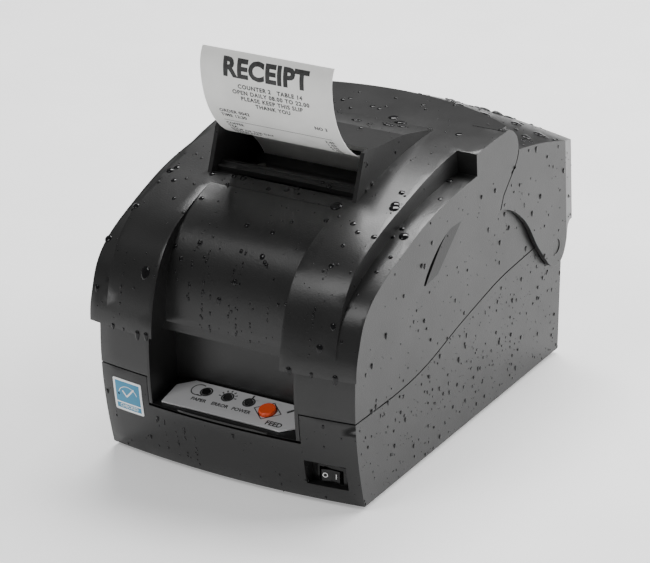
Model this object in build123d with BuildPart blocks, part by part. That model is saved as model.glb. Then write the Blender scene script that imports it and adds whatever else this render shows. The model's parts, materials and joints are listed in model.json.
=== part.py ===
"""Receipt printer: a counter-top impact printer for 76 mm paper rolls.

Millimetres. +X is to the right seen from the front, +Y runs to the back, +Z is up.
The origin is on the counter, below the middle of the whole printer.
Side profiles are written as (depth, height): depth behind the foremost point of the
front, and height over the counter.
"""

import os
from math import cos, radians, sin, sqrt

from build123d import *

# Whole printer
DEPTH = 231.0
COVER_HALF = 77.0  # half the width over the two covers
CASE_HALF = 74.0  # half the width of the cases under them
WALL = 2.5
CUT_BACK = 2.4  # the recess takes the foremost middle of the bow away
FRONT = -(DEPTH + CUT_BACK) / 2
BOW = 500.0  # radius, in plan, of the bowed front
SWING = 16.0  # half the angle of that bow
GAP = 0.35  # half the parting gap between neighbouring shells

# Heights over the counter
FLOOR = 2.5  # underside of the lower case, on its feet
LIP = 72.5  # lower edge of the front cover, at the front

# Front cover
RIDGE_HALF = 66.0  # raised middle, between the two side ledges
RECESS_HALF = 37.0  # panel between the two front ribs
CHANNEL_END = 124.0  # depth at which the side ledges stop
HOOD_HALF = 43.0
MOUTH_HALF = 40.8
HOOD_FOOT = (66.0, 134.0)
HOOD_PEAK = (78.0, 157.2)
HOOD_TAIL = (146.0, 144.5)
FRONT_HINGE = (153.0, 134.0)
HEEL = 12.2  # radius of the round heels about the front hinge

# Parting between the two covers, an upright cylinder seen from above
SEAM_CENTRE = 40.6
SEAM_RADIUS = 140.4

# Rear cover
REAR_HINGE = (202.4, 64.0)

# Control notch in the front of the upper case
NOTCH_HALF = 42.0
NOTCH_BACK = 29.0
NOTCH_FLOOR = 34.0
APRON_HALF = 44.0  # apron of the upper case that hangs round the notch
PLATE_FRONT = (9.0, 36.5)
PLATE_BACK = (27.5, 40.5)
LED_X = (-20.0, -7.5, 5.0)
LED_ROW = 21.5  # depth of the row of windows
BUTTON_X, BUTTON_ROW = 17.5, 19.0

# Power switch in the lower case
SWITCH_X = 56.0

# Paper
PAPER_HALF = 38.0
PAPER = 0.25
ROLL = (158.0, 80.0)
ROLL_RADIUS = 35.0
CORE_RADIUS = 8.0
WEB = 108.0  # depth of the upright run of paper past the print head

# Print mechanism
FRAME_HALF = 56.0
FRAME_FRONT, FRAME_BACK = 42.0, 121.0
FRAME_FLOOR, FRAME_TOP = 56.0, 112.0
SHAFT = (70.0, 84.0)
SHAFT_RADIUS = 4.0
FEED = (114.4, 72.0)
FEED_RADIUS = 6.0
PINCH_RADIUS = 5.0
PULLEY_X = 46.0
PULLEY_RADIUS = 6.0
BELT_ROW, BELT_H = 56.0, 70.0


def y(depth):
    """Y of a depth behind the front."""
    return FRONT + depth


def side(points):
    """Side-profile points (depth, height) as local points of Plane.YZ."""
    return [(y(d), h) for d, h in points]


def write(piece, name):
    """Labels a finished piece and writes its STEP file."""
    piece.part.label = name
    export_step(piece.part, f"parts/{name}.step")


def slab(profile, half_width, mode=Mode.ADD):
    """Extrudes a closed side profile to both sides of the middle."""
    with BuildSketch(Plane.YZ) as sketch:
        with BuildLine():
            Polyline(*side(profile), close=True)
        make_face()
    extrude(sketch.sketch, amount=half_width, both=True, mode=mode)


def curved(curve, tail, x0, x1, mode=Mode.ADD):
    """Extrudes, from x0 to x1, a side profile of one smooth curve and a straight tail."""
    with BuildSketch(Plane.YZ.offset(x0)) as sketch:
        with BuildLine():
            smooth = Spline(*side(curve))
            Polyline(smooth @ 1, *side(tail), smooth @ 0)
        make_face()
    extrude(sketch.sketch, amount=x1 - x0, mode=mode)


def bowed(curve, tail, mode=Mode.ADD):
    """Revolves a side profile about the axis of the bow, so that its front is bowed."""
    plane = Plane(
        origin=(0, FRONT + BOW, 0),
        x_dir=(-sin(radians(SWING)), -cos(radians(SWING)), 0),
        z_dir=(-cos(radians(SWING)), sin(radians(SWING)), 0),
    )
    with BuildSketch(plane) as sketch:
        with BuildLine():
            smooth = Spline(*[(BOW - d, h) for d, h in curve])
            Polyline(smooth @ 1, *[(BOW - d, h) for d, h in tail], smooth @ 0)
        make_face()
    axis = Axis((0, FRONT + BOW, 0), (0, 0, 1))
    revolve(sketch.sketch, axis=axis, revolution_arc=2 * SWING, mode=mode)


def block(x0, x1, d0, d1, h0, h1, mode=Mode.ADD):
    """A box by its limits in width, depth and height."""
    with Locations(((x0 + x1) / 2, y((d0 + d1) / 2), (h0 + h1) / 2)):
        Box(x1 - x0, d1 - d0, h1 - h0, mode=mode)


def bar(centre, radius, x0, x1, mode=Mode.ADD):
    """A round bar along X at a side-profile centre."""
    with Locations(((x0 + x1) / 2, y(centre[0]), centre[1])):
        Cylinder(radius, x1 - x0, rotation=(0, 90, 0), mode=mode)


def post(x, d, radius, h0, h1, mode=Mode.ADD):
    """An upright round post."""
    with Locations((x, y(d), (h0 + h1) / 2)):
        Cylinder(radius, h1 - h0, mode=mode)


def keep(x0, x1, d0=-50, d1=400, h0=-50, h1=400):
    """Trims the part to limits in width, depth and height."""
    block(x0, x1, d0, d1, h0, h1, mode=Mode.INTERSECT)


def inset(curve, step):
    """A profile moved inwards by a wall thickness."""
    moved = []
    for i, (d, h) in enumerate(curve):
        d0, h0 = curve[max(i - 1, 0)]
        d1, h1 = curve[min(i + 1, len(curve) - 1)]
        length = sqrt((d1 - d0) ** 2 + (h1 - h0) ** 2)
        moved.append((d + step * (h1 - h0) / length, h - step * (d1 - d0) / length))
    return moved


# Side profiles at the middle of the width
RIDGE = [(1, 55), (1, 72), (4.8, 91), (10.3, 104.5), (14.5, 111), (23.5, 119.6), (37.5, 126.8)]
RIDGE += [(44.3, 129.3), (67.3, 135.8), (90.3, 141.4), (118.3, 145), (150, 146), (186, 145)]
LEDGE = [(1, 55), (1, 72), (2.4, 81.6), (4.4, 87.6), (9, 98.4), (16, 106.4), (29, 114), (47, 121)]
LEDGE += [(67, 127.4), (94, 131.8), (119, 133.6), (150, 134)]
RECESS = [(15, 55), (15, 72), (17, 91.6), (23, 109), (32, 120.6), (43, 127.4), (60, 133.4)]
COVER_EDGE = [(8, LIP), (20, 79.4), (38, 85.8), (57, 91.4), (76, 95.9), (96, 99.2), (120, 102.4), (146, 106)]
CASE_SEAM = [(-12, 48.7), (30, 48.7), (56, 49), (79, 52), (103, 58), (129, 63.6), (149, 67.2), (172, 69), (196, 71)]
EAR = [(146.3, 106.4), (155.3, 103), (165.4, 96), (175.4, 84.7), (181.4, 74.5), (190.5, 62.3)]
EAR += [(198, 54.6), (206, 53.4), (211.5, 58)]


def drop(curve, step):
    """A side curve moved down."""
    return [(d, h - step) for d, h in curve]


def below(curve, mode=Mode.SUBTRACT):
    """Everything below a side curve."""
    (d0, h0), (d1, h1) = curve[0], curve[-1]
    curved(curve, [(260, h1), (260, -30), (-40, -30), (-40, h0)], -90, 90, mode=mode)


def above(curve, mode=Mode.SUBTRACT):
    """Everything above a side curve."""
    (d0, h0), (d1, h1) = curve[0], curve[-1]
    curved(curve, [(260, h1), (260, 260), (-40, 260), (-40, h0)], -90, 90, mode=mode)


def seam_region(radius):
    """The space in front of the parting between the two covers."""
    with BuildPart() as region:
        with Locations((0, y(SEAM_CENTRE), 0)):
            Cylinder(radius, 400)
    return region.part


def cover_form(step):
    """Outline of the front cover, moved inwards by step all round."""
    half = COVER_HALF - step
    tail = [(200, 100), (200, 50)]
    with BuildPart() as ledges:
        bowed(inset(LEDGE, step), tail)
        keep(-half, half)
    with BuildPart() as rear:
        bowed(inset(RIDGE, step), tail)
        keep(-half, half, d0=CHANNEL_END + step)
    with BuildPart() as form:
        bowed(inset(RIDGE, step), tail)
        keep(step - RIDGE_HALF, RIDGE_HALF - step)
        add(rear.part)
        add(ledges.part)
        reach = RECESS_HALF + step
        curved(inset(RECESS, step), [(60, 170), (-30, 170), (-30, 40), (15, 40)], -reach, reach, Mode.SUBTRACT)
    return form.part


HOOD = [(66, 128), HOOD_FOOT, (76, 157.2), HOOD_PEAK, (112, 153.6), HOOD_TAIL, (146, 128)]
THROAT = [(40, 110), (40, 170), (83, 170), (83, 154.4), (112, 151), (136, 145), (136, 110)]
PAPER_BED = [(75.5, 133), (75.5, 138.6), (78, 138.6), (81, 131), (88, 127.8), (103, 127.8), (103, 125),
             (86, 125), (79, 128.5)]
CRESCENT = [(97.5, 116.4), (87.5, 112.4), (78.6, 106), (72, 99), (68.2, 92), (66, 86)]
CRESCENT_BACK = [(97.9, 115.9), (89.1, 110.4), (81, 103), (74.1, 96.3), (69.4, 90.4), (66.4, 85.5)]
SIDE_BAND = 73.2  # beyond this half width the heel alone meets the rear cover


def front_cover():
    with BuildPart() as hood:
        slab(HOOD, HOOD_HALF)
        slab(THROAT, MOUTH_HALF, Mode.SUBTRACT)
    with BuildPart() as clear:
        # a round heel about the hinge lets the two sides turn in front of the rear cover
        slab([(200, 20), (200, 134), (166, 134), (158.5, 122.3), (149.2, 113.6), (145.6, 106.6), (145.6, 20)], 90)
        for x in (-1, 1):
            block(min(SIDE_BAND * x, 80 * x), max(SIDE_BAND * x, 80 * x), 153, 200, 134, 200)
        bar(FRONT_HINGE, HEEL, -95, 95, Mode.SUBTRACT)
    with BuildPart() as heel:
        # round heels that close the gap to the rear cover at the two sides
        bar(FRONT_HINGE, HEEL, -COVER_HALF, COVER_HALF)
        bar(FRONT_HINGE, HEEL - 2.2, WALL - COVER_HALF, COVER_HALF - WALL, Mode.SUBTRACT)
        block(-58, 58, 100, 200, 100, 160, mode=Mode.SUBTRACT)
        block(WALL - COVER_HALF, COVER_HALF - WALL, 130, 200, 110, 132.5, mode=Mode.SUBTRACT)
        block(-80, 80, 130, 153, 110, 160, mode=Mode.SUBTRACT)
    with BuildPart() as skirt:
        # rim that hangs below the edge along the rear cover
        with Locations((0, y(SEAM_CENTRE), 139)):
            Cylinder(SEAM_RADIUS, 10)
            Cylinder(SEAM_RADIUS - WALL, 10, mode=Mode.SUBTRACT)
        keep(-70, 70, d0=150)
    with BuildPart() as limits:
        add(seam_region(SEAM_RADIUS - GAP))
        bar(FRONT_HINGE, HEEL, -80, 80)
    with BuildPart() as pads:
        # thicker side walls behind the finger recesses
        block(70, 75, 62, 106, 90, 122)
        block(-75, -70, 62, 106, 90, 122)
        below(drop(RIM, -0.6))
    with BuildPart() as groove:
        # crescent finger groove, between its front edge and a flatter back edge
        curved(CRESCENT, [(60, 80), (110, 80), (110, 116)], -90, 90)
        curved(CRESCENT_BACK, [(60, 80), (110, 80), (110, 116)], -90, 90, Mode.SUBTRACT)
        block(-72.4, 72.4, 50, 120, 70, 130, mode=Mode.SUBTRACT)
    with BuildPart() as grip:
        # shallow run-out behind the groove
        chord = Plane(origin=(0, y(69.6), 95.5), x_dir=(1, 0, 0), z_dir=(0, 0.783, 0.622))
        with BuildSketch(chord) as wedge:
            with BuildLine():
                Polyline((75.7, -8), (75.7, -2.6), (77.2, 9), (84, 9), (84, -8), close=True)
            make_face()
            mirror(about=Plane.YZ)
        extrude(wedge.sketch, amount=60, both=True)
        curved(CRESCENT, [(60, 80), (110, 80), (110, 116)], -90, 90, Mode.INTERSECT)
        add(groove.part)
    with BuildPart() as cover:
        add(cover_form(0))
        add(cover_form(WALL), mode=Mode.SUBTRACT)
        add(pads.part)
        # mouth through the top, closed in front by a sill
        block(-MOUTH_HALF, MOUTH_HALF, 78, 136, 120, 190, mode=Mode.SUBTRACT)
        block(-MOUTH_HALF, MOUTH_HALF, 68, 72.5, 134.2, 160, mode=Mode.SUBTRACT)
        add(hood.part)
        slab(PAPER_BED, 43.5)
        add(skirt.part)
        for x in (-1, 1):
            # hinge lugs below the top
            block(min(66.5 * x, 69.5 * x), max(66.5 * x, 69.5 * x), 148, 158, 134, 144.5)
            bar(FRONT_HINGE, 5, min(66.5 * x, 69.5 * x), max(66.5 * x, 69.5 * x))
        bar(FRONT_HINGE, 2.05, -72, 72, Mode.SUBTRACT)
        add(heel.part)
        add(limits.part, mode=Mode.INTERSECT)
        add(clear.part, mode=Mode.SUBTRACT)
        add(grip.part, mode=Mode.SUBTRACT)
        below(COVER_EDGE)
    write(cover, "front_cover")


def rear_section(depth, edge, crown, step):
    """Cross-section of the rear cover: upright sides below a crowned top."""
    half = COVER_HALF - step
    plane = Plane(origin=(0, y(depth), 0), x_dir=(1, 0, 0), z_dir=(0, -1, 0))
    with BuildSketch(plane) as section:
        with BuildLine():
            ThreePointArc((-half, edge - step), (0, crown - step), (half, edge - step))
            Polyline((half, edge - step), (half, 20), (-half, 20), (-half, edge - step))
        make_face()
    return section.sketch


def rear_form(step):
    """Outline of the rear cover, moved inwards by step all round."""
    back = [(214, 130), (221, 124), (227, 113), (230, 101), (231, 90), (229.5, 79), (225.5, 68), (224, 60)]
    with BuildPart() as profile:
        curved(inset(back, step), [(220, 10), (100, 10), (100, 200), (205, 200)], -90, 90)
    with BuildSketch() as plan:
        with BuildLine():
            ThreePointArc((-73.5 + step, y(226.5 - step)), (0, y(231 - step)), (73.5 - step, y(226.5 - step)))
            half = COVER_HALF - step
            Polyline((73.5 - step, y(226.5 - step)), (half, y(214)), (half, y(100)), (-half, y(100)),
                     (-half, y(214)), (-73.5 + step, y(226.5 - step)))
        make_face()
    with BuildPart() as form:
        loft([rear_section(145, 134.5, 148, step), rear_section(190, 126.5, 140, step),
              rear_section(232, 111, 118, step)])
        add(profile.part, mode=Mode.INTERSECT)
        extrude(plan.sketch, amount=200, mode=Mode.INTERSECT)
    return form.part


def rear_cover():
    with BuildPart() as front:
        # everything that belongs to the front cover, with the space its heel turns in
        slab([(60, 20), (146.3, 106), (149.7, 113), (160.5, 123.2), (153.6, 134), (153.6, 200), (60, 200)], 90)
        bar(FRONT_HINGE, HEEL + 0.7, -95, 95)
    with BuildPart() as seam:
        # wider to the two sides and downwards, where the heel of the front cover turns
        with Locations((0, y(27.1), 136)):
            Cone(154.6 + 8, 154.6, 20)
        with Locations((0, y(27.1), 156)):
            Cylinder(154.6, 20)
        block(-90, 90, 60, 161, 131, 200)
        keep(-SIDE_BAND, SIDE_BAND)
    with BuildPart() as cover:
        add(rear_form(0))
        add(rear_form(WALL), mode=Mode.SUBTRACT)
        add(front.part, mode=Mode.SUBTRACT)
        add(seam.part, mode=Mode.SUBTRACT)
        below(EAR + [(213, 61), (216, 68), (226, 70)])
        # raised bosses round the hinge
        for x in (-1, 1):
            bar(REAR_HINGE, 8, min(74.5 * x, 77 * x), max(74.5 * x, 77 * x))
        bar(REAR_HINGE, 4.05, -80, 80, Mode.SUBTRACT)
    write(cover, "rear_cover")


def case_form(step):
    """Outline of the two cases together, moved inwards by step all round."""
    front = [(8.8, 2.5), (6.4, 16), (4.8, 29), (4, 41), (3.9, 50), (4.3, 60), (5.1, 69), (6, 78)]
    with BuildPart() as form:
        bowed([(d + step, h) for d, h in front], [(6 + step, 130), (240, 130), (240, FLOOR)])
        keep(step - CASE_HALF, CASE_HALF - step)
        back = [(-20, FLOOR + step), (208 - step, FLOOR + step), (212.8 - step, 50), (212.8 - step, 130), (-20, 130)]
        slab(back, 90, Mode.INTERSECT)
    return form.part


RIM = [(-12, 76), (16, 80), (38, 88.5), (57, 94.3), (76, 98.8), (96, 102), (120, 105), (142, 108)]
RIM += [(158, 105), (172, 97), (185, 86), (196, 80), (216, 77)]
POCKET = [(0, 33.6), (31, 38.6), (31, 68), (20.5, 72), (20.5, 84), (-10, 84), (-10, 33.6)]
POCKET_SPACE = [(-20, 35.5), (5, 35.5), (5, 34.5), (9, 35.3), (29, 39.7), (29, 66.5), (18.5, 70.5)]
POCKET_SPACE += [(18.5, 90), (-20, 90)]


def lower_case():
    with BuildPart() as switch_well:
        block(42.8, 69, 4, 18, 9, 26)
    with BuildPart() as case:
        add(case_form(0))
        add(case_form(WALL), mode=Mode.SUBTRACT)
        above(drop(CASE_SEAM, GAP))
        # well for the power switch
        add(switch_well.part)
        block(44.8, 67, -20, 15, 10.8, 24.2, mode=Mode.SUBTRACT)
        block(48.4, 63.6, 10, 30, 10.8, 20, mode=Mode.SUBTRACT)
        add(case_form(0), mode=Mode.INTERSECT)
        # room for the apron of the upper case
        block(-APRON_HALF - 0.4, APRON_HALF + 0.4, -20, 34, NOTCH_FLOOR - 0.9, 60, mode=Mode.SUBTRACT)
        # connector window in the back
        block(-50, 50, 196, 230, 14, 38, mode=Mode.SUBTRACT)
        for x in (-1, 1):
            # hinge seats of the rear cover
            bar(REAR_HINGE, 5, min(70 * x, 73.9 * x), max(70 * x, 73.9 * x))
            bar(REAR_HINGE, 2.0, min(60 * x, 90 * x), max(60 * x, 90 * x), Mode.SUBTRACT)
        # ventilation slots in the floor
        with Locations((0, y(100), FLOOR)):
            with GridLocations(8, 40, 9, 2):
                Box(3, 26, 12, mode=Mode.SUBTRACT)
        # countersinks of the case screws in the floor
        for x in (-62, 62):
            for d in (42, 192):
                post(x, d, 3.2, 0, 6, Mode.SUBTRACT)
    write(case, "lower_case")
    with BuildPart() as posts:
        for x in (-1, 1):
            # standoffs of the main board and of the mechanism
            for d in (66, 186):
                post(52 * x, d, 3.5, FLOOR + WALL, 10)
            post(50.6 * x, 112, 4, FLOOR + WALL, FRAME_FLOOR)
            post(28 * x, 48, 4, FLOOR + WALL, FRAME_FLOOR)
            # screw seats
            for d in (42, 192):
                post(62 * x, d, 4.2, FLOOR + WALL, 20)
                post(62 * x, d, 1.6, 0, 30, Mode.SUBTRACT)
    write(posts, "case_posts")


def upper_case():
    with BuildPart() as pocket:
        slab(POCKET, APRON_HALF)
        slab(POCKET_SPACE, NOTCH_HALF, Mode.SUBTRACT)
        add(case_form(0), mode=Mode.INTERSECT)
    with BuildPart() as case:
        add(case_form(0))
        add(case_form(WALL), mode=Mode.SUBTRACT)
        above(RIM)
        below(drop(CASE_SEAM, -GAP))
        # inside the front cover the front wall stands back
        block(-90, 90, -20, 8.5, LIP + 0.5, 120, mode=Mode.SUBTRACT)
        block(-APRON_HALF, APRON_HALF, -20, 20, 40, 120, mode=Mode.SUBTRACT)
        add(pocket.part)
        # holes of the control plate: windows and feed button
        with Locations(plate_plane().location):
            for x in LED_X:
                with Locations((x, plate_row(LED_ROW), -3)):
                    Cylinder(2.6, 12, mode=Mode.SUBTRACT)
            with Locations((BUTTON_X, plate_row(BUTTON_ROW), -3)):
                Cylinder(4.9, 12, mode=Mode.SUBTRACT)
        for x in (-1, 1):
            low, high = min(70.5 * x, 73.5 * x), max(70.5 * x, 73.5 * x)
            # arms that carry the front cover
            slab_between([(146, 96), (148.2, 134), (155, 134), (156, 118), (162, 96)], low, high)
            bar(FRONT_HINGE, 5, low, high)
        bar(FRONT_HINGE, 2.0, -80, 80, Mode.SUBTRACT)
    write(case, "upper_case")


def slab_between(profile, x0, x1, mode=Mode.ADD):
    """Extrudes a closed side profile from x0 to x1."""
    with BuildSketch(Plane.YZ.offset(x0)) as sketch:
        with BuildLine():
            Polyline(*side(profile), close=True)
        make_face()
    extrude(sketch.sketch, amount=x1 - x0, mode=mode)


TILT = 12.5  # degrees, rise of the control plate to the back


def plate_plane():
    """Top surface of the control plate, from the middle of its front edge."""
    s, c = sin(radians(TILT)), cos(radians(TILT))
    return Plane(origin=(0, y(PLATE_FRONT[0]), PLATE_FRONT[1]), x_dir=(1, 0, 0), z_dir=(0, -s, c))


def plate_row(depth):
    """Distance up the control plate of a depth behind the front."""
    return (depth - PLATE_FRONT[0]) / cos(radians(TILT))


def control_plate():
    length = plate_row(PLATE_BACK[0])
    outline = [(-38, -1), (31, -1), (38, 4), (38, length), (-30, length), (-38, length - 6)]
    with BuildSketch(plate_plane()) as sketch:
        with BuildLine():
            Polyline(*outline, close=True)
        make_face()
        with Locations(*[(x, plate_row(LED_ROW)) for x in LED_X]):
            Circle(2.35, mode=Mode.SUBTRACT)
        with Locations((BUTTON_X, plate_row(BUTTON_ROW))):
            Circle(4.75, mode=Mode.SUBTRACT)
    with BuildPart() as plate:
        extrude(sketch.sketch, amount=-1.0)
    write(plate, "control_plate")


def led_windows():
    with BuildPart() as windows:
        with Locations(plate_plane().location):
            with Locations(*[(x, plate_row(LED_ROW), -1.4) for x in LED_X]):
                Cylinder(2.3, 3.4)
    write(windows, "indicator_windows")


def feed_button():
    with BuildPart() as button:
        with Locations(plate_plane().location):
            with Locations((BUTTON_X, plate_row(BUTTON_ROW), 0)):
                with Locations((0, 0, -1.6)):
                    Cylinder(4.4, 6.8)
                with Locations((0, 0, -4.6)):
                    Cylinder(5.6, 0.8)
        fillet(button.edges().filter_by(GeomType.CIRCLE).sort_by(Axis.Z)[-1], 0.6)
    write(button, "feed_button")


def control_board():
    with BuildPart() as board:
        with Locations(plate_plane().location):
            with Locations((0, 9.5, -9.4)):
                Box(72, 17, 1.6)
            for x in LED_X:
                with Locations((x, plate_row(LED_ROW), -6.2)):
                    Cylinder(1.5, 4.8)
    write(board, "control_board")
    with BuildPart() as switch:
        with Locations(plate_plane().location):
            with Locations((BUTTON_X, plate_row(BUTTON_ROW), -7.7)):
                Box(6, 6, 1.8)
            with Locations((BUTTON_X, plate_row(BUTTON_ROW), -6.4)):
                Cylinder(1.6, 0.8)
    write(switch, "feed_switch")


def power_switch():
    with BuildPart() as housing:
        block(48.6, 63.4, 15, 27, 10.9, 19.9)
        block(47.4, 64.6, 14.2, 15, 10.9, 21)
        block(49.2, 62.8, 10, 25, 11.9, 19.1, mode=Mode.SUBTRACT)
        post(SWITCH_X, 19, 1.05, 10, 21, Mode.SUBTRACT)
        for x in (52, 56, 60):
            block(x - 0.4, x + 0.4, 26.5, 32, 13, 18)
    write(housing, "switch_housing")
    with BuildPart() as rocker:
        with BuildSketch(Plane.XY.offset(12.4)) as sketch:
            with BuildLine():
                Polyline((51, y(12.3)), (56, y(13.6)), (61, y(13.6)), (60.8, y(19)), (56, y(21.5)),
                         (51.2, y(18.5)), close=True)
            make_face()
        extrude(sketch.sketch, amount=6.2)
        fillet(rocker.edges().filter_by(Axis.Z).sort_by(Axis.Y)[0], 0.5)
        post(SWITCH_X, 19, 1.0, 11, 19.8)
    write(rocker, "power_rocker")


def small_parts():
    with BuildPart() as label:
        with BuildSketch(Plane(origin=(0, y(40), 0), x_dir=(1, 0, 0), z_dir=(0, -1, 0))) as sketch:
            with Locations((-57.8, 34.1)):
                RectangleRounded(18.4, 18, 0.8)
        extrude(sketch.sketch, amount=60)
        add(case_form(-0.25), mode=Mode.INTERSECT)
        add(case_form(0), mode=Mode.SUBTRACT)
    write(label, "front_label")
    with BuildPart() as feet:
        for x in (-58, 58):
            for d in (34, 186):
                post(x * 0.9, d, 6.5, 0, 2.5)
    write(feet, "feet")
    with BuildPart() as screws:
        for x in (-62, 62):
            for d in (42, 192):
                post(x, d, 3.0, 3.1, 4.9)
                post(x, d, 1.5, 4.9, 18)
                block(x - 2, x + 2, d - 0.3, d + 0.3, 3, 3.9, mode=Mode.SUBTRACT)
    write(screws, "case_screws")
    with BuildPart() as pins:
        for x in (-1, 1):
            bar(FRONT_HINGE, 2.0, min(66 * x, 73.5 * x), max(66 * x, 73.5 * x))
    write(pins, "front_hinge_pins")
    with BuildPart() as studs:
        for x in (-1, 1):
            bar(REAR_HINGE, 2.0, min(69 * x, 74 * x), max(69 * x, 74 * x))
            bar(REAR_HINGE, 4.0, min(74 * x, 76.6 * x), max(74 * x, 76.6 * x))
    write(studs, "rear_hinge_studs")


def paper():
    slip = [(109.8, 128.9), (105.5, 136), (100, 142.6), (91, 148.6), (80, 153), (67, 165), (60.5, 178.5)]
    slip += [(58.5, 190.5), (59, 199), (61.7, 204.5)]
    strip(slip, 37.5, "receipt")
    web = [(124, 72.0), (122, 66), (118.5, 62.2), (114.4, 61.2), (110.4, 62.8), (108.3, 66.4), (107.95, 72)]
    with BuildPart() as lead:
        with BuildSketch(Plane.YZ) as sketch:
            with BuildLine():
                path = Spline(*side(web))
                Line(path @ 1, (y(107.95), 126.8))
            trace(line_width=PAPER)
        extrude(sketch.sketch, amount=PAPER_HALF, both=True)
    write(lead, "paper_web")
    with BuildPart() as roll:
        bar(ROLL, ROLL_RADIUS - 0.4, -PAPER_HALF, PAPER_HALF)
        bar(ROLL, CORE_RADIUS, -90, 90, Mode.SUBTRACT)
    write(roll, "paper_roll")
    with BuildPart() as core:
        bar(ROLL, CORE_RADIUS - 0.05, -PAPER_HALF + 0.3, PAPER_HALF - 0.3)
        bar(ROLL, CORE_RADIUS - 1.6, -90, 90, Mode.SUBTRACT)
    write(core, "roll_core")


def strip(points, half_width, name):
    """A thin sheet along a smooth side curve."""
    with BuildPart() as sheet:
        with BuildSketch(Plane.YZ) as sketch:
            with BuildLine():
                Spline(*side(points))
            trace(line_width=PAPER)
        extrude(sketch.sketch, amount=half_width, both=True)
    write(sheet, name)


def tear_bar():
    with BuildPart() as blade:
        slab([(90, 127.9), (90, 128.9), (101, 128.9), (106.2, 131.6), (107.2, 131.2), (102, 127.9)], 38.5)
        with Locations(*[(-37.5 + 1.5 * i, y(107.4), 131.3) for i in range(51)]):
            Box(0.7, 1.6, 3, mode=Mode.SUBTRACT)
    write(blade, "tear_bar")
    with BuildPart() as screws:
        for x in (-30, 30):
            with Locations((x, y(95), 129.7)):
                Cylinder(2.2, 1.6)
    write(screws, "tear_bar_screws")


def bucket():
    cx, ch = ROLL
    with BuildPart() as tray:
        bar((cx, ch), ROLL_RADIUS + 4, -43, 43)
        bar((cx, ch), ROLL_RADIUS + 2, -41, 41, Mode.SUBTRACT)
        block(-60, 60, 100, 250, ch - 8, 250, mode=Mode.SUBTRACT)
        for x in (-42, 42):
            block(x - 1, x + 1, 121, 196, ch - 12, ch + 4)
        block(-90, 90, 100, 123.4, 30, 120, mode=Mode.SUBTRACT)
        # legs down to the lower case
        for x in (-30, 30):
            for d in (146, 176):
                post(x, d, 2.5, FLOOR + WALL, 48)
        bar((cx, ch), ROLL_RADIUS + 2, -41, 41, Mode.SUBTRACT)
    write(tray, "paper_tray")
    with BuildPart() as lever:
        with BuildSketch(Plane.YZ.offset(38.9)) as sketch:
            with Locations((y(180), 62)):
                SlotCenterToCenter(14, 4, rotation=60)
        extrude(sketch.sketch, amount=1.2)
    write(lever, "low_paper_lever")


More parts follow.
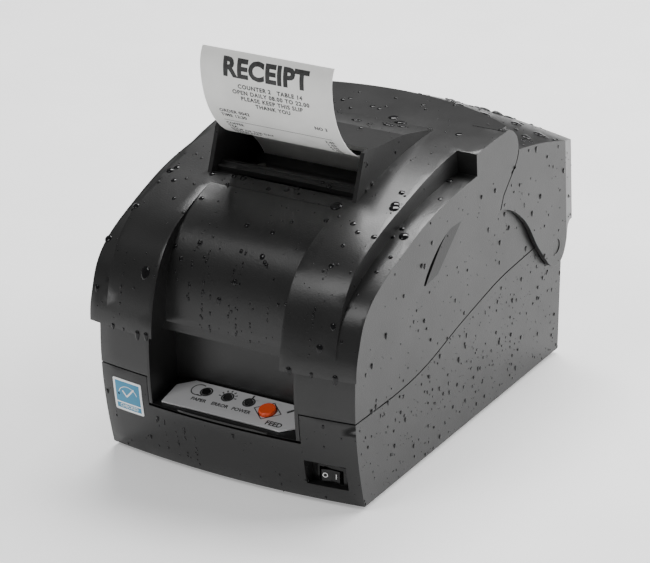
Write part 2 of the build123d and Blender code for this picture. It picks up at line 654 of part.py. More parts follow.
def mechanism():
    with BuildPart() as frame:
        block(-FRAME_HALF, FRAME_HALF, FRAME_FRONT, FRAME_BACK, FRAME_FLOOR, FRAME_FLOOR + 1.5)
        for x in (-FRAME_HALF, FRAME_HALF - 1.5):
            block(x, x + 1.5, FRAME_FRONT, FRAME_BACK, FRAME_FLOOR, FRAME_TOP)
        block(-FRAME_HALF - 1, FRAME_HALF + 1, 20, 54, 92, 130, mode=Mode.SUBTRACT)
        block(-39.5, 39.5, 101, 130, 50, 60, mode=Mode.SUBTRACT)
        # back plate behind the paper
        block(-FRAME_HALF + 1.5, FRAME_HALF - 1.5, FRAME_BACK - 1.2, FRAME_BACK, 84, 100)
        post(PULLEY_X, BELT_ROW, 2, 50, 60, Mode.SUBTRACT)
        bar(SHAFT, SHAFT_RADIUS, -90, 90, Mode.SUBTRACT)
        bar(FEED, 3.05, -90, 90, Mode.SUBTRACT)
        bar((102.7, FEED[1]), 1.55, -90, 90, Mode.SUBTRACT)
    write(frame, "mechanism_frame")
    with BuildPart() as rods:
        bar(SHAFT, SHAFT_RADIUS, -58, 58)
    write(rods, "carriage_shaft")
    with BuildPart() as platen:
        block(-44, 44, 108.6, 111.6, 86, 98)
        block(-FRAME_HALF + 1.5, FRAME_HALF - 1.5, 111.6, 114, 88, 96)
    write(platen, "platen")
    with BuildPart() as carriage:
        block(-13, 13, 60, 80, 76, 92)
        bar(SHAFT, SHAFT_RADIUS + 0.05, -20, 20, Mode.SUBTRACT)
        block(-9, 9, BELT_ROW + 7, 68, 67, 78)
    write(carriage, "carriage")
    with BuildPart() as head:
        block(-9, 9, 80, 100, 82, 98)
        block(-5, 5, 100, 106.8, 87, 95)
        for h in (84, 87, 90, 93, 96):
            block(-11, -9, 82, 98, h - 0.6, h + 0.6)
            block(9, 11, 82, 98, h - 0.6, h + 0.6)
    write(head, "print_head")
    with BuildPart() as roller:
        bar(FEED, 3.0, -61, 61)
    write(roller, "feed_shaft")
    with BuildPart() as tyres:
        for x in (-24, 24):
            bar(FEED, FEED_RADIUS, x - 9, x + 9)
            bar(FEED, 3.0, x - 20, x + 20, Mode.SUBTRACT)
    write(tyres, "feed_tyres")
    with BuildPart() as pinch:
        bar((102.7, FEED[1]), 1.5, -57, 57)
        for x in (-24, 24):
            bar((102.7, FEED[1]), PINCH_RADIUS - 0.1, x - 7, x + 7)
    write(pinch, "pinch_roller")
    with BuildPart() as feed_motor:
        bar(FEED, 17, 62, 69)
        bar(FEED, 3.4, 60, 66, Mode.SUBTRACT)
        block(FRAME_HALF, 62, FEED[0] - 9, FEED[0] - 5, FEED[1] - 10, FEED[1] + 10)
        block(FRAME_HALF, 62, FEED[0] + 5, FEED[0] + 6.4, FEED[1] - 10, FEED[1] + 10)
    write(feed_motor, "feed_motor")
    with BuildPart() as motor:
        with Locations((PULLEY_X, y(BELT_ROW), 0)):
            with Locations((0, 0, 48)):
                Cylinder(9.5, 16)
            with Locations((0, 0, 58)):
                Cylinder(1.2, 4, mode=Mode.ADD)
    write(motor, "carriage_motor")
    for name, x in (("drive_pulley", PULLEY_X), ("idler_pulley", -PULLEY_X)):
        with BuildPart() as pulley:
            with Locations((x, y(BELT_ROW), BELT_H)):
                Cylinder(PULLEY_RADIUS, 5)
                with Locations((0, 0, 3)):
                    Cylinder(PULLEY_RADIUS + 1.2, 1)
                with Locations((0, 0, -3)):
                    Cylinder(PULLEY_RADIUS + 1.2, 1)
                Cylinder(1.25, 20, mode=Mode.SUBTRACT)
        write(pulley, name)
    with BuildPart() as posts:
        for x in (-PULLEY_X, PULLEY_X):
            post(x, BELT_ROW, 1.2, FRAME_FLOOR + 1.5 if x < 0 else 60, 76)
            if x < 0:
                post(x, BELT_ROW, 3, FRAME_FLOOR + 1.5, 65)
    write(posts, "pulley_posts")
    with BuildPart() as belt:
        with BuildSketch(Plane.XY.offset(BELT_H - 2)) as sketch:
            with Locations((0, y(BELT_ROW))):
                SlotCenterToCenter(2 * PULLEY_X, 2 * PULLEY_RADIUS + 1.4)
                SlotCenterToCenter(2 * PULLEY_X, 2 * PULLEY_RADIUS + 0.1, mode=Mode.SUBTRACT)
        extrude(sketch.sketch, amount=4)
    write(belt, "drive_belt")
    with BuildPart() as cassette:
        block(-53.8, 53.8, 58, 98, 101, 113.6)
        block(-53.8, -46, 98, 107, 101, 113.6)
        block(46, 53.8, 98, 107, 101, 113.6)
        block(-58, 58, 66, 90, 112.2, 113.6)
    write(cassette, "ribbon_cassette")
    with BuildPart() as ribbon:
        block(-46, 46, 104.2, 104.5, 100, 112)
    write(ribbon, "ink_ribbon")
    with BuildPart() as knob:
        post(-48, 78, 5, 114.0, 119)
        with Locations((-48, y(78), 116.8)):
            with PolarLocations(5, 10):
                Cylinder(0.7, 4.6, mode=Mode.SUBTRACT)
        post(-48, 78, 2, 113.7, 114.2)
    write(knob, "ribbon_knob")


def electronics():
    with BuildPart() as board:
        block(-57, 57, 60, 196, 10, 11.6)
        for x in (-50.6, 50.6):
            post(x, 112, 5, 9, 13, Mode.SUBTRACT)
        for x in (-30, 30):
            for d in (146, 176):
                post(x, d, 3.5, 9, 13, Mode.SUBTRACT)
    write(board, "main_board")
    with BuildPart() as chips:
        for x, d, w, l, h in ((-20, 90, 18, 18, 1.6), (18, 84, 12, 10, 1.4), (30, 120, 22, 14, 9),
                              (-46, 132, 10, 10, 12), (-46, 148, 10, 10, 12), (10, 150, 16, 8, 3)):
            block(x - w / 2, x + w / 2, d - l / 2, d + l / 2, 11.6, 11.6 + h)
    write(chips, "board_parts")
    with BuildPart() as screws:
        for x in (-52, 52):
            for d in (66, 186):
                post(x, d, 2.8, 11.6, 13.4)
    write(screws, "board_screws")
    with BuildPart() as plate:
        block(-56, 56, 202.4, 203.9, 12.4, 42)
        block(-37, -17, 190, 215, 15, 31, mode=Mode.SUBTRACT)
        block(-10, 24, 190, 215, 16, 29, mode=Mode.SUBTRACT)
        block(30, 46, 190, 215, 15, 31, mode=Mode.SUBTRACT)
    write(plate, "interface_plate")
    with BuildPart() as inlet:
        block(-36.7, -17.3, 188, 206, 15.3, 30.7)
        with Locations((-27, y(206), 23)):
            Cylinder(5.5, 24, rotation=(90, 0, 0), mode=Mode.SUBTRACT)
        block(-36.7, -17.3, 188, 192, 11.6, 15.3)
    write(inlet, "power_inlet")
    with BuildPart() as port:
        block(-9.7, 23.7, 190, 206, 16.3, 28.7)
        block(-7.5, 21.5, 199, 220, 18, 27, mode=Mode.SUBTRACT)
        block(-9.7, 23.7, 190, 194, 11.6, 16.3)
    write(port, "data_port")
    with BuildPart() as jack:
        block(30.3, 45.7, 188, 206, 15.3, 30.7)
        block(32.5, 43.5, 194, 220, 17.5, 27.5, mode=Mode.SUBTRACT)
        block(30.3, 45.7, 188, 192, 11.6, 15.3)
    write(jack, "drawer_jack")


if __name__ == "__main__":
    os.makedirs("parts", exist_ok=True)
    front_cover()
    rear_cover()
    lower_case()
    upper_case()
    control_plate()
    led_windows()
    feed_button()
    control_board()
    power_switch()
    small_parts()
    paper()
    tear_bar()
    bucket()
    mechanism()
    electronics()
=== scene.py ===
# Receipt printer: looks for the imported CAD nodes, in metres. +X right, +Y back, +Z up.

import json
import math
import random

import bmesh
import bpy
from mathutils import Matrix, Vector
from mathutils.bvhtree import BVHTree


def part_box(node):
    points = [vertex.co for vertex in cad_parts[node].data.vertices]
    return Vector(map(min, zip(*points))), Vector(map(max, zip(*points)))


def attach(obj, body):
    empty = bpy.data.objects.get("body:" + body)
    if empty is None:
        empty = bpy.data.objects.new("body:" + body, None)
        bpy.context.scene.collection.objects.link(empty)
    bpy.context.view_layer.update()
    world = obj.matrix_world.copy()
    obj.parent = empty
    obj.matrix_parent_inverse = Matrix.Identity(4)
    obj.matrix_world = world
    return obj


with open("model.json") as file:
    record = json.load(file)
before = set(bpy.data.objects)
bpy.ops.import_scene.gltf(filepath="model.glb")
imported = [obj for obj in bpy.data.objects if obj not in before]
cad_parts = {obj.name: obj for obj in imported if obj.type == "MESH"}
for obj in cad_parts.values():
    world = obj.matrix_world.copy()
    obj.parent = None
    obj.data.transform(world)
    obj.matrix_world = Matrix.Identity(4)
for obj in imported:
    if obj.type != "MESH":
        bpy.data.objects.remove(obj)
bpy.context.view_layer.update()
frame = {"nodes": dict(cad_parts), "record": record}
nodes = frame["nodes"]
random.seed(7)

MM = 0.001
FRONT = -0.1167  # Y that the depths of the side profiles count from
LIFT = 0.00004  # height of print over the surface it lies on


# ---------------------------------------------------------------- materials

def new_material(name):
    """A node material and its shader node."""
    material = bpy.data.materials.new(name)
    material.use_nodes = True
    return material, material.node_tree.nodes["Principled BSDF"]


def noise(material, scale, detail=4.0, stretch=(1, 1, 1)):
    """Noise in object coordinates."""
    tree = material.node_tree
    coords = tree.nodes.new("ShaderNodeTexCoord")
    mapping = tree.nodes.new("ShaderNodeMapping")
    mapping.inputs["Scale"].default_value = stretch
    texture = tree.nodes.new("ShaderNodeTexNoise")
    texture.inputs["Scale"].default_value = scale
    texture.inputs["Detail"].default_value = detail
    tree.links.new(coords.outputs["Object"], mapping.inputs["Vector"])
    tree.links.new(mapping.outputs["Vector"], texture.inputs["Vector"])
    return texture


def spread(material, texture, low, high, socket):
    """Noise mapped to a range of values on a shader socket."""
    tree = material.node_tree
    ramp = tree.nodes.new("ShaderNodeMapRange")
    ramp.inputs["From Min"].default_value = 0.3
    ramp.inputs["From Max"].default_value = 0.7
    ramp.inputs["To Min"].default_value = low
    ramp.inputs["To Max"].default_value = high
    tree.links.new(texture.outputs["Fac"], ramp.inputs["Value"])
    tree.links.new(ramp.outputs["Result"], socket)


def tint(material, texture, dark, light, socket):
    """Noise mapped to a range of colours."""
    tree = material.node_tree
    ramp = tree.nodes.new("ShaderNodeValToRGB")
    ramp.color_ramp.elements[0].position = 0.3
    ramp.color_ramp.elements[1].position = 0.7
    ramp.color_ramp.elements[0].color = (*dark, 1)
    ramp.color_ramp.elements[1].color = (*light, 1)
    tree.links.new(texture.outputs["Fac"], ramp.inputs["Fac"])
    tree.links.new(ramp.outputs["Color"], socket)


def bump(material, texture, strength, distance):
    """Noise as surface relief."""
    tree = material.node_tree
    node = tree.nodes.new("ShaderNodeBump")
    node.inputs["Strength"].default_value = strength
    node.inputs["Distance"].default_value = distance
    tree.links.new(texture.outputs["Fac"], node.inputs["Height"])
    tree.links.new(node.outputs["Normal"], tree.nodes["Principled BSDF"].inputs["Normal"])


def surface(name, dark, light, rough=(0.4, 0.5), metal=0.0, grain=900, relief=0.1, depth=1e-4,
            mottle=18, stretch=(1, 1, 1), coat=0.0, ior=1.5):
    """A surface with mottled colour, uneven gloss and fine relief."""
    material, shader = new_material(name)
    tint(material, noise(material, mottle, 5), dark, light, shader.inputs["Base Color"])
    spread(material, noise(material, mottle * 2.7, 6), rough[0], rough[1], shader.inputs["Roughness"])
    bump(material, noise(material, grain, 3, stretch), relief, depth)
    shader.inputs["Metallic"].default_value = metal
    shader.inputs["Coat Weight"].default_value = coat
    shader.inputs["IOR"].default_value = ior
    return material


def grey(value):
    """A neutral colour."""
    return (value, value, value)


plastic = surface("case plastic", grey(0.0085), grey(0.0125), (0.30, 0.37), grain=1300, relief=0.5,
                  depth=1.2e-4, ior=1.43)
inner = surface("inner plastic", grey(0.035), grey(0.05), (0.4, 0.55), grain=700)
gloss_black = surface("gloss black plastic", grey(0.006), grey(0.01), (0.14, 0.22), grain=400,
                      relief=0.04, ior=1.4)
window = surface("window plastic", grey(0.008), grey(0.012), (0.06, 0.12), grain=300, relief=0.02,
                 coat=0.6)
orange = surface("button plastic", (0.78, 0.075, 0.02), (0.88, 0.11, 0.03), (0.22, 0.32), grain=500,
                 relief=0.06)
silver = surface("plate metal", (0.64, 0.64, 0.65), (0.74, 0.74, 0.75), (0.4, 0.52), metal=0.35,
                 grain=240, relief=0.12, stretch=(1, 14, 14))
steel = surface("steel", (0.45, 0.45, 0.46), (0.58, 0.58, 0.59), (0.26, 0.4), metal=1.0, grain=260,
                relief=0.1, stretch=(1, 9, 9))
dark_steel = surface("dark steel", grey(0.06), grey(0.1), (0.3, 0.42), metal=0.9, grain=500)
zinc = surface("zinc", (0.4, 0.4, 0.39), (0.52, 0.52, 0.5), (0.28, 0.42), metal=1.0, grain=700)
alloy = surface("cast alloy", (0.4, 0.4, 0.42), (0.52, 0.52, 0.54), (0.42, 0.55), metal=1.0,
                grain=900, relief=0.3)
brass = surface("brass", (0.6, 0.42, 0.16), (0.72, 0.53, 0.24), (0.24, 0.36), metal=1.0, grain=500)
rubber = surface("rubber", grey(0.016), grey(0.028), (0.7, 0.85), grain=1200, relief=0.3)
card = surface("grey board", (0.3, 0.23, 0.16), (0.4, 0.31, 0.22), (0.8, 0.9), grain=900, relief=0.3)
mask = surface("solder mask", (0.008, 0.1, 0.03), (0.015, 0.15, 0.05), (0.25, 0.35), grain=300,
               coat=0.3)
chip = surface("moulded black", grey(0.02), grey(0.032), (0.5, 0.62), grain=1100, relief=0.2)
film = surface("label film", (0.8, 0.82, 0.83), (0.88, 0.9, 0.9), (0.25, 0.34), grain=300, relief=0.03)
blue = surface("label blue", (0.012, 0.2, 0.36), (0.02, 0.26, 0.43), (0.25, 0.34), grain=300,
               relief=0.03)
white_ink = surface("white ink", (0.75, 0.75, 0.74), (0.84, 0.84, 0.83), (0.4, 0.5), grain=700)
black_ink = surface("black ink", grey(0.012), grey(0.035), (0.55, 0.7), grain=900, mottle=400)
ribbon_cloth = surface("ink ribbon", (0.02, 0.01, 0.03), (0.035, 0.02, 0.05), (0.6, 0.75), grain=1800,
                       relief=0.4)


def paper_material():
    """White paper: mottled more finely than the plastics, and matt."""
    material, shader = new_material("paper")
    tint(material, noise(material, 60, 6), (0.74, 0.74, 0.72), (0.82, 0.82, 0.8),
         shader.inputs["Base Color"])
    spread(material, noise(material, 90, 4), 0.6, 0.75, shader.inputs["Roughness"])
    bump(material, noise(material, 1100, 5), 0.15, 1e-4)
    return material


paper = paper_material()

SLOTS = {
    "case_plastic": plastic, "button_plastic": orange, "panel_metal": silver, "window_plastic": window,
    "label_film": film, "rubber": rubber, "steel": steel, "dark_steel": dark_steel,
    "screw_steel": zinc, "paper": paper, "card": card, "board": mask, "chip_plastic": chip,
    "switch_plastic": gloss_black, "inner_plastic": inner, "head_metal": alloy, "brass": brass,
    "ribbon": ribbon_cloth, "connector": gloss_black,
}
slot_of = {part["node"]: part["material_slot"] for part in frame["record"]["subparts"]}
# edge rounding of the moulded and stamped pieces
ROUNDED = {"front_cover": 0.0009, "rear_cover": 0.0009, "lower_case": 0.0006, "upper_case": 0.0006,
           "power_rocker": 0.0004, "control_plate": 0.00025, "interface_plate": 0.0002}
for name, obj in nodes.items():
    obj.data.materials.clear()
    obj.data.materials.append(SLOTS[slot_of[name]])
    if name in ROUNDED:
        weld = obj.modifiers.new("weld", "WELD")
        weld.merge_threshold = 1e-6
        bevel = obj.modifiers.new("bevel", "BEVEL")
        bevel.width = ROUNDED[name]
        bevel.segments = 3
        bevel.limit_method = "ANGLE"
        bevel.angle_limit = math.radians(38)
        bevel.harden_normals = True


# ------------------------------------------------- graphics laid on surfaces

def tree_of(name):
    """Search tree of a CAD node's mesh."""
    mesh = nodes[name].data
    return BVHTree.FromPolygons([v.co for v in mesh.vertices], [p.vertices for p in mesh.polygons])


def lettering(text, size, bold=0.0, align="CENTER", spacing=1.0):
    """Flat outline mesh of a line of text, in metres."""
    curve = bpy.data.curves.new("text", "FONT")
    curve.body = text
    curve.size = size
    curve.offset = bold
    curve.align_x = align
    curve.align_y = "CENTER"
    curve.space_character = spacing
    curve.resolution_u = 3
    holder = bpy.data.objects.new("text", curve)
    bpy.context.scene.collection.objects.link(holder)
    mesh = bpy.data.meshes.new_from_object(holder)
    bpy.data.objects.remove(holder)
    flat = bmesh.new()
    flat.from_mesh(mesh)
    bpy.data.meshes.remove(mesh)
    return flat


def outline(points):
    """Flat mesh of one filled polygon."""
    flat = bmesh.new()
    flat.faces.new([flat.verts.new((x, y, 0)) for x, y in points])
    return flat


def ring(radius, inner_radius, start=0.0, end=360.0, squash=1.0):
    """Flat mesh of a ring or of a part of one."""
    flat = bmesh.new()
    count = max(8, int(abs(end - start) / 9))
    rows = []
    for i in range(count + 1):
        a = math.radians(start + (end - start) * i / count)
        rows.append([flat.verts.new((math.cos(a) * r, math.sin(a) * r * squash, 0))
                     for r in (inner_radius, radius)])
    for a, b in zip(rows, rows[1:]):
        flat.faces.new((a[0], a[1], b[1], b[0]))
    return flat


def bar(x0, y0, x1, y1, width):
    """Flat mesh of a stroke between two points."""
    dx, dy = x1 - x0, y1 - y0
    length = math.hypot(dx, dy)
    nx, ny = -dy / length * width / 2, dx / length * width / 2
    return outline([(x0 + nx, y0 + ny), (x0 - nx, y0 - ny), (x1 - nx, y1 - ny), (x1 + nx, y1 + ny)])


def lay(name, parts, place, body, material, step=0.0015):
    """Joins flat meshes, each with an offset, and lays every point of them on a surface."""
    whole = bmesh.new()
    for flat, (dx, dy) in parts:
        bmesh.ops.triangulate(flat, faces=flat.faces)
        for _ in range(4):
            long = [e for e in flat.edges if e.calc_length() > step]
            if not long:
                break
            bmesh.ops.subdivide_edges(flat, edges=long, cuts=1)
            bmesh.ops.triangulate(flat, faces=flat.faces)
        made = {v: whole.verts.new(place(v.co.x + dx, v.co.y + dy)) for v in flat.verts}
        for face in flat.faces:
            corners = [made[v] for v in face.verts]
            if whole.faces.get(corners) is None:
                whole.faces.new(corners)
        flat.free()
    mesh = bpy.data.meshes.new(name)
    whole.to_mesh(mesh)
    whole.free()
    mesh.materials.append(material)
    obj = bpy.data.objects.new(name, mesh)
    bpy.context.scene.collection.objects.link(obj)
    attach(obj, body)
    return obj


# control plate, from the middle of its front edge
TILT = math.radians(12.5)
SLOPE = Vector((0, math.cos(TILT), math.sin(TILT)))
NORMAL = Vector((0, -math.sin(TILT), math.cos(TILT)))
PLATE = Vector((0, FRONT + 0.009, 0.0365))
LED_X = (-0.020, -0.0075, 0.005)
LED_V = 0.0125 / math.cos(TILT)
BUTTON = (0.0175, 0.010 / math.cos(TILT))


def on_plate(u, v):
    """Point of the plate's print: u to the right of its middle, v up the slope."""
    return PLATE + Vector((u, 0, 0)) + SLOPE * v + NORMAL * LIFT


def panel_graphics():
    """Pictograms and function words on the control plate."""
    black = []
    for x in LED_X:
        black.append((ring(0.0034, 0.0026), (x, LED_V)))
    # words below the windows
    for x, word in zip(LED_X, ("PAPER", "ERROR", "POWER")):
        black.append((lettering(word, 0.0031, 0.0001), (x - 0.0004, LED_V - 0.0068)))
    black.append((lettering("FEED", 0.0042, 0.00014), (0.0258, 0.0024)))
    # lozenge round the button with a paper arrow beside it
    x, v = BUTTON
    corners = ((-0.0078, 0), (0, -0.0064), (0.0078, 0), (0, 0.0064))
    for a, b in zip(corners, corners[1:] + corners[:1]):
        black.append((bar(*a, *b, 0.0005), (x, v)))
    black.append((bar(0.0098, 0.0022, 0.0132, 0.0058, 0.0014), (x, v)))
    black.append((outline([(0.0142, 0.0035), (0.0154, 0.0078), (0.0108, 0.0068)]), (x, v)))
    # paper roll beside the first window, warning lashes round the second
    black.append((ring(0.0042, 0.0036, 60, 300), (-0.0246, LED_V + 0.0002)))
    black.append((bar(-0.0236, LED_V - 0.0037, -0.0206, LED_V - 0.0037, 0.0006), (0, 0)))
    for angle in (30, 60, 90, 120, 150, 0, 180):
        c, s = math.cos(math.radians(angle)), math.sin(math.radians(angle))
        black.append((bar(0.0038 * c, 0.0038 * s, 0.0051 * c, 0.0051 * s, 0.0007), (LED_X[1], LED_V)))
    black.append((bar(0, 0.003, 0, 0.0054, 0.0009), (LED_X[2], LED_V)))
    lay("panel_print", black, on_plate, "case", black_ink)


def label_graphics():
    """Generic inspection label: blue field with an arc, a tick and a word."""
    tree = tree_of("front_label")
    middle = Vector((-0.0578, FRONT - 0.05, 0.0341))

    def place(u, v, lift=0.00003):
        hit, _, _, _ = tree.ray_cast(middle + Vector((u, 0, v)), Vector((0, 1, 0)))
        return hit + Vector((0, -lift, 0))

    field = outline([(-0.0079, -0.0040), (0.0079, -0.0040), (0.0079, 0.0078), (-0.0079, 0.0078)])
    lay("label_field", [(field, (0, 0))], place, "case", blue)
    strip = outline([(-0.0079, -0.0077), (0.0079, -0.0077), (0.0079, -0.0048), (-0.0079, -0.0048)])
    lay("label_strip", [(strip, (0, 0))], place, "case", blue)
    white = [(ring(0.0062, 0.0058, 15, 165, 0.85), (0, 0.0002)),
             (bar(-0.0034, 0.0018, -0.0008, -0.0012, 0.0009), (0, 0.0008)),
             (bar(-0.0008, -0.0012, 0.0042, 0.0040, 0.0009), (0, 0.0008)),
             (lettering("CHECKED", 0.0026, 0.00005), (0, -0.0062))]
    lay("label_print", white, lambda u, v: place(u, v, 0.00006), "case", white_ink)


def rocker_marks():
    """Off and on marks of the power rocker."""
    tree = tree_of("power_rocker")
    middle = Vector((0.056, FRONT - 0.05, 0.0155))

    def place(u, v):
        hit, normal, _, _ = tree.ray_cast(middle + Vector((u, 0, v)), Vector((0, 1, 0)))
        return hit + normal * LIFT

    marks = [(ring(0.0013, 0.0009), (-0.0028, 0)), (bar(0, -0.0013, 0, 0.0013, 0.0005), (0.003, 0))]
    lay("rocker_marks", marks, place, "power_rocker", white_ink)


def receipt_print():
    """Generic print on the slip, from its upper end down."""
    tree = tree_of("receipt")
    # side profile of the slip, as depth and height in millimetres
    profile = [(109.8, 128.9), (105.5, 136), (100, 142.6), (91, 148.6), (80, 153), (67, 165),
               (60.5, 178.5), (58.5, 190.5), (59, 199), (61.7, 204.5)]
    path = [Vector((0, FRONT + d * MM, h * MM)) for d, h in reversed(profile)]
    fine = []
    for i in range(len(path) - 1):
        a, b = path[max(i - 1, 0)], path[min(i + 2, len(path) - 1)]
        for k in range(12):
            t = k / 12
            p, q = path[i], path[i + 1]
            fine.append(0.5 * (2 * p + (q - a) * t + (2 * a - 5 * p + 4 * q - b) * t * t
                               + (3 * p - a - 3 * q + b) * t * t * t))
    fine.append(path[-1])
    lengths = [0.0]
    for p, q in zip(fine, fine[1:]):
        lengths.append(lengths[-1] + (q - p).length)

    def place(u, v):
        """Point on the slip: u to the right of its middle, v up from its upper end."""
        s = max(0.0, min(-v, lengths[-1] - 1e-6))
        i = max(k for k, length in enumerate(lengths) if length <= s)
        i = min(i, len(fine) - 2)
        t = (s - lengths[i]) / (lengths[i + 1] - lengths[i])
        point = fine[i].lerp(fine[i + 1], t)
        run = (fine[i + 1] - fine[i]).normalized()
        out = Vector((0, run.z, -run.y))
        if out.y > 0:
            out = -out
        hit, _, _, _ = tree.find_nearest(point + Vector((u, 0, 0)) + out * 0.0015)
        return hit + out * LIFT

    edge = 0.031  # half the width between the two columns of print
    rows = [(lettering("RECEIPT", 0.0128, 0.0006, spacing=1.05), (0, -0.0088))]

    def pair(left, right, size, bold, v):
        rows.append((lettering(left, size, bold, "LEFT", 1.1), (-edge, v)))
        rows.append((lettering(right, size, bold, "RIGHT", 1.1), (edge, v)))

    y = -0.0176
    for line in ("COUNTER 2   TABLE 14", "OPEN DAILY 08.00 TO 22.00", "PLEASE KEEP THIS SLIP",
                 "THANK YOU"):
        rows.append((lettering(line, 0.0031, 0.00011, spacing=1.15), (0.002, y)))
        y -= 0.0033
    y -= 0.0035
    for left, right in (("ORDER 0042", "NO 3"), ("TIME 12:30", "")):
        pair(left, right, 0.0029, 0.0001, y)
        y -= 0.0031
    y -= 0.001
    rows.append((bar(-edge, 0, edge, 0, 0.0003), (0, y)))
    y -= 0.0028
    goods = (("COFFEE", "2.40"), ("TEA", "1.90"), ("SOUP OF THE DAY", "4.50"), ("BREAD ROLL", "0.80"),
             ("WATER", "1.20"), ("SALAD", "3.60"), ("APPLE CAKE", "2.90"), ("JUICE", "2.10"),
             ("PIE", "3.30"))
    for left, right in goods:
        pair(left, right, 0.0027, 0.0001, y)
        y -= 0.0029
    rows.append((bar(-edge, 0, edge, 0, 0.0003), (0, y)))
    y -= 0.003
    pair("TOTAL", "22.70", 0.0034, 0.00008, y)
    lay("receipt_print", rows, place, "front_cover", black_ink, 0.002)


panel_graphics()
label_graphics()
rocker_marks()
receipt_print()


# ------------------------------------------------------------------ dressing

LIP_EDGE = 0.0735  # just above the lower edge of the front cover
LIP_BAND = 0.0006
DOWN = Vector((0, 0, -1))
SUNK = 0.00002  # depth of a bead's rim in the surface

water, water_shader = new_material("water")  # dark, because the plastic shows through
water_shader.inputs["Base Color"].default_value = (0.004, 0.004, 0.0045, 1)
water_shader.inputs["Roughness"].default_value = 0.05
water_shader.inputs["IOR"].default_value = 1.33


def bead(whole, point, normal, radius, height, stretch):
    """A flattened dome of water on a surface, longer down the slope."""
    side = normal.cross(DOWN)
    if side.length < 1e-3:
        side = normal.orthogonal()
    side.normalize()
    along = side.cross(normal)
    rings, segments = 5, 14
    rows = []
    for i in range(rings):
        a = math.pi / 2 * i / rings
        r, z = math.cos(a) * radius, math.sin(a) * height
        row = []
        for k in range(segments):
            t = 2 * math.pi * k / segments
            reach = r * (stretch if math.sin(t) > 0 else 1.0)
            row.append(whole.verts.new(point + side * math.cos(t) * r + along * math.sin(t) * reach
                                       + normal * (z - SUNK)))
        rows.append(row)
    top = whole.verts.new(point + normal * height)
    for a, b in zip(rows, rows[1:]):
        for k in range(segments):
            whole.faces.new((a[k], a[(k + 1) % segments], b[(k + 1) % segments], b[k]))
    for k in range(segments):
        whole.faces.new((rows[-1][k], rows[-1][(k + 1) % segments], top))
    whole.faces.new(list(reversed(rows[0])))


def bead_object(name, whole, body):
    """Makes beads one staged object that moves with a body."""
    mesh = bpy.data.meshes.new(name)
    whole.to_mesh(mesh)
    whole.free()
    for polygon in mesh.polygons:
        polygon.use_smooth = True
    mesh.materials.append(water)
    obj = bpy.data.objects.new(name, mesh)
    bpy.context.scene.collection.objects.link(obj)
    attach(obj, body)


def wet(node, body, count, size, sources, flat=0.6):
    """Beads scattered over one CAD node, as set dressing that is no piece of the object."""
    tree = tree_of(node)
    whole = bmesh.new()
    low, high = [Vector(corner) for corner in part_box(node)]
    made, tries = 0, 0
    while made < count and tries < count * 12:
        tries += 1
        direction = Vector(random.choice(sources))
        start = Vector([random.uniform(a, b) for a, b in zip(low, high)]) - direction * 0.4
        hit, normal, _, _ = tree.ray_cast(start, direction)
        if hit is None or normal.dot(direction) > -0.25:
            continue
        radius = size[0] + (size[1] - size[0]) * random.random() ** 3.2
        steep = 1 - abs(normal.z)
        stretch = 1 + steep * random.uniform(0.1, 1.6)
        bead(whole, hit, normal, radius, radius * random.uniform(0.7, 1.1) * flat, stretch)
        made += 1
    bead_object("beads_" + node, whole, body)


def run_down(node, body, columns, radius):
    """Columns of small beads, where water ran down a front face: X, lower and upper end, count."""
    tree = tree_of(node)
    whole = bmesh.new()
    for x, low, high, count in columns:
        for _ in range(count):
            start = Vector((x + random.gauss(0, 0.0003), FRONT - 0.05, random.uniform(low, high)))
            hit, normal, _, _ = tree.ray_cast(start, Vector((0, 1, 0)))
            if hit is None or normal.y > -0.1:
                continue
            size = radius * random.uniform(0.5, 1.6)
            bead(whole, hit, normal, size, size * 0.6, random.uniform(1.2, 3.2))
    bead_object("run_" + node, whole, body)


TOP, SIDE, AHEAD = (0, 0, -1), (-1, 0, 0), (0, 1, 0)  # ways from which beads are cast
wet("front_cover", "front_cover", 330, (0.0003, 0.0014), (TOP, TOP, SIDE, AHEAD))
wet("front_cover", "front_cover", 70, (0.0014, 0.0034), (TOP,), 0.34)
wet("rear_cover", "rear_cover", 170, (0.0003, 0.0012), (TOP, SIDE))
wet("rear_cover", "rear_cover", 60, (0.0014, 0.0040), (TOP,), 0.32)
COVER_RUNS = ((-0.024, 0.09, 0.118, 12), (-0.016, 0.076, 0.12, 16), (-0.011, 0.075, 0.121, 9),
              (0.0, 0.078, 0.112, 10), (0.004, 0.075, 0.12, 18), (0.012, 0.075, 0.1, 8),
              (0.022, 0.08, 0.11, 9), (-0.058, 0.08, 0.11, 9), (0.052, 0.08, 0.12, 12))
run_down("front_cover", "front_cover", COVER_RUNS, 0.0004)
LIP_BEADS = (-62, -55, -46, -40, -24, -18, -11, -7, -2, 2, 4, 7, 22, 27, 42, 54, 66)  # mm
run_down("front_cover", "front_cover", [(x * MM, LIP_EDGE, LIP_EDGE + LIP_BAND, 1) for x in LIP_BEADS],
         0.0010)
CASE_RUNS = ((-0.036, 0.01, 0.03, 9), (-0.029, 0.006, 0.028, 12), (-0.024, 0.006, 0.026, 10),
             (-0.018, 0.006, 0.024, 8), (0.03, 0.004, 0.02, 3))
run_down("lower_case", "case", CASE_RUNS, 0.00035)
wet("upper_case", "case", 150, (0.0002, 0.0011), (SIDE,))
wet("lower_case", "case", 620, (0.0002, 0.0010), (SIDE, SIDE, SIDE, SIDE, SIDE, SIDE, AHEAD))


# ------------------------------------------------------------ floor and light

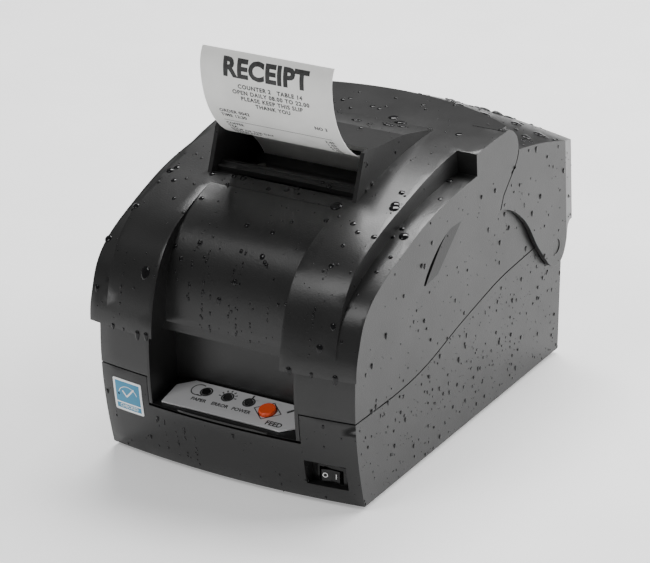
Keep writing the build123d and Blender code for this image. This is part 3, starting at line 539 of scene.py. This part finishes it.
floor_material = surface("studio floor", grey(0.88), grey(0.92), (0.5, 0.6), grain=20, relief=0.02)
floor_shader = floor_material.node_tree.nodes["Principled BSDF"]
floor_shader.inputs["Emission Color"].default_value = (1, 1, 1, 1)
floor_shader.inputs["Emission Strength"].default_value = 0.3  # backlit white studio floor
bpy.ops.mesh.primitive_plane_add(size=14, location=(0, 0, 0))
floor = bpy.context.object
floor.name = "studio_floor"
floor.data.materials.append(floor_material)

world = bpy.data.worlds.new("studio")
bpy.context.scene.world = world
world.use_nodes = True
world.node_tree.nodes["Background"].inputs["Color"].default_value = (1, 1, 1, 1)
world.node_tree.nodes["Background"].inputs["Strength"].default_value = 0.24


def softbox(name, place, target, width, height, power):
    """A rectangular light aimed at a point."""
    data = bpy.data.lights.new(name, "AREA")
    data.shape = "RECTANGLE"
    data.size, data.size_y = width, height
    data.energy = power
    light = bpy.data.objects.new(name, data)
    bpy.context.scene.collection.objects.link(light)
    light.location = place
    aim = Vector(target) - Vector(place)
    light.rotation_mode = "QUATERNION"
    light.rotation_quaternion = aim.to_track_quat("-Z", "Y")


softbox("back", (1.0, 1.3, 1.2), (0.15, 0.1, 0.05), 1.6, 1.0, 48)
softbox("top", (-0.25, 0.75, 1.5), (0, 0, 0.1), 1.0, 0.5, 34)
softbox("side", (1.6, -0.2, 0.5), (0, 0, 0.05), 0.9, 0.9, 7)
softbox("front", (-0.6, -1.3, 1.8), (0, 0, 0.1), 0.8, 0.8, 16)

# long lens, to the right of the front and above
camera_data = bpy.data.cameras.new("camera")
camera_data.lens = 172.8
camera_data.sensor_width = 36.0
camera_data.clip_end = 30
camera = bpy.data.objects.new("camera", camera_data)
bpy.context.scene.collection.objects.link(camera)
right = Vector((0.84489, 0.533114, -0.044166))
up = Vector((-0.191125, 0.377948, 0.905884))
back = Vector((0.499632, -0.756932, 0.421216))
turn = Matrix((right, up, back)).transposed()
camera.matrix_world = Matrix.Translation((0.783951, -1.202953, 0.730853)) @ turn.to_4x4()
bpy.context.scene.camera = camera
